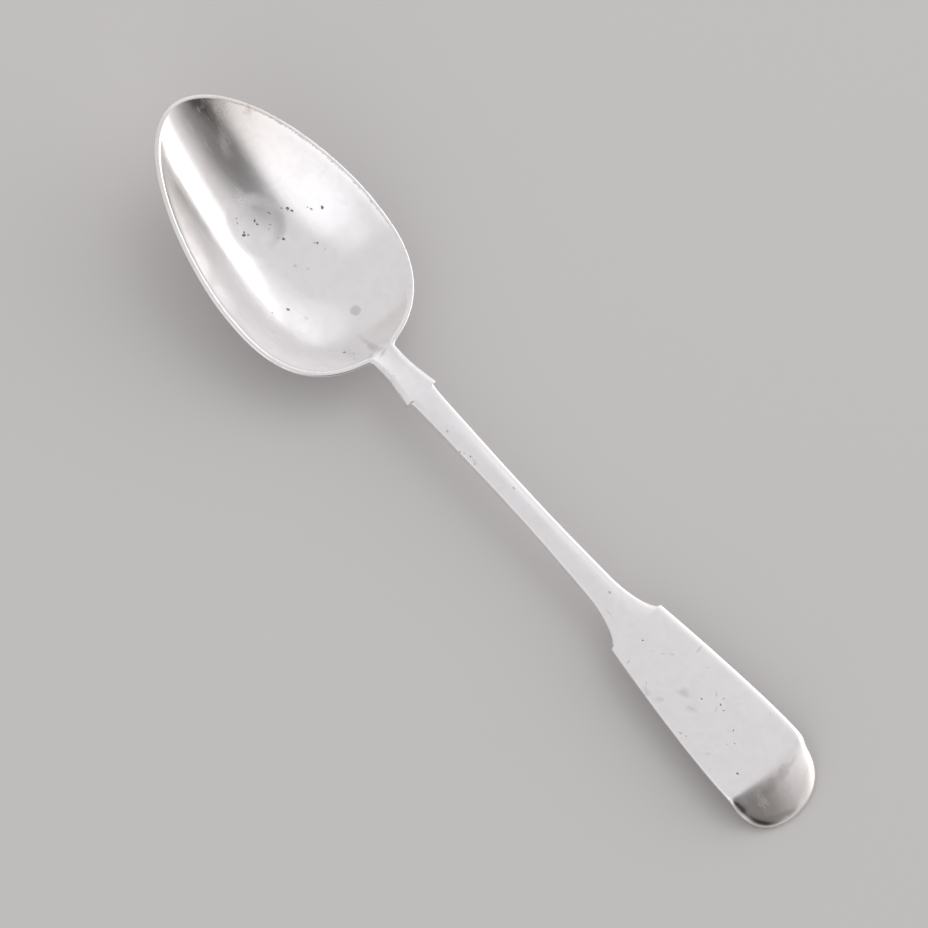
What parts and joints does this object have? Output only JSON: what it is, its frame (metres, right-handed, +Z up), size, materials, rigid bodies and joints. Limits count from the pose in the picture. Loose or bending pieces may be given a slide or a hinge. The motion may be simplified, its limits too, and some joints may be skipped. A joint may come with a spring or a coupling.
{
  "type": "tablespoon",
  "caption": "Silver tablespoon with an egg-shaped bowl, square ears behind the neck, a slim stem and a fiddle-shaped handle plate, forged in one piece.",
  "frame": {"origin": "on the table under the middle of the spoon's length, on its middle plane", "axes": "+X along the spoon from the tip of the bowl to the end of the handle, +Y across it to the side, +Z up out of the open bowl"},
  "size_m": [0.223, 0.048, 0.0237],
  "materials": {
    "silver": "worn polished sterling silver with fine scratches and small pits"
  },
  "bodies": {
    "root": {"spoon": "silver"}
  },
  "joints": []
}
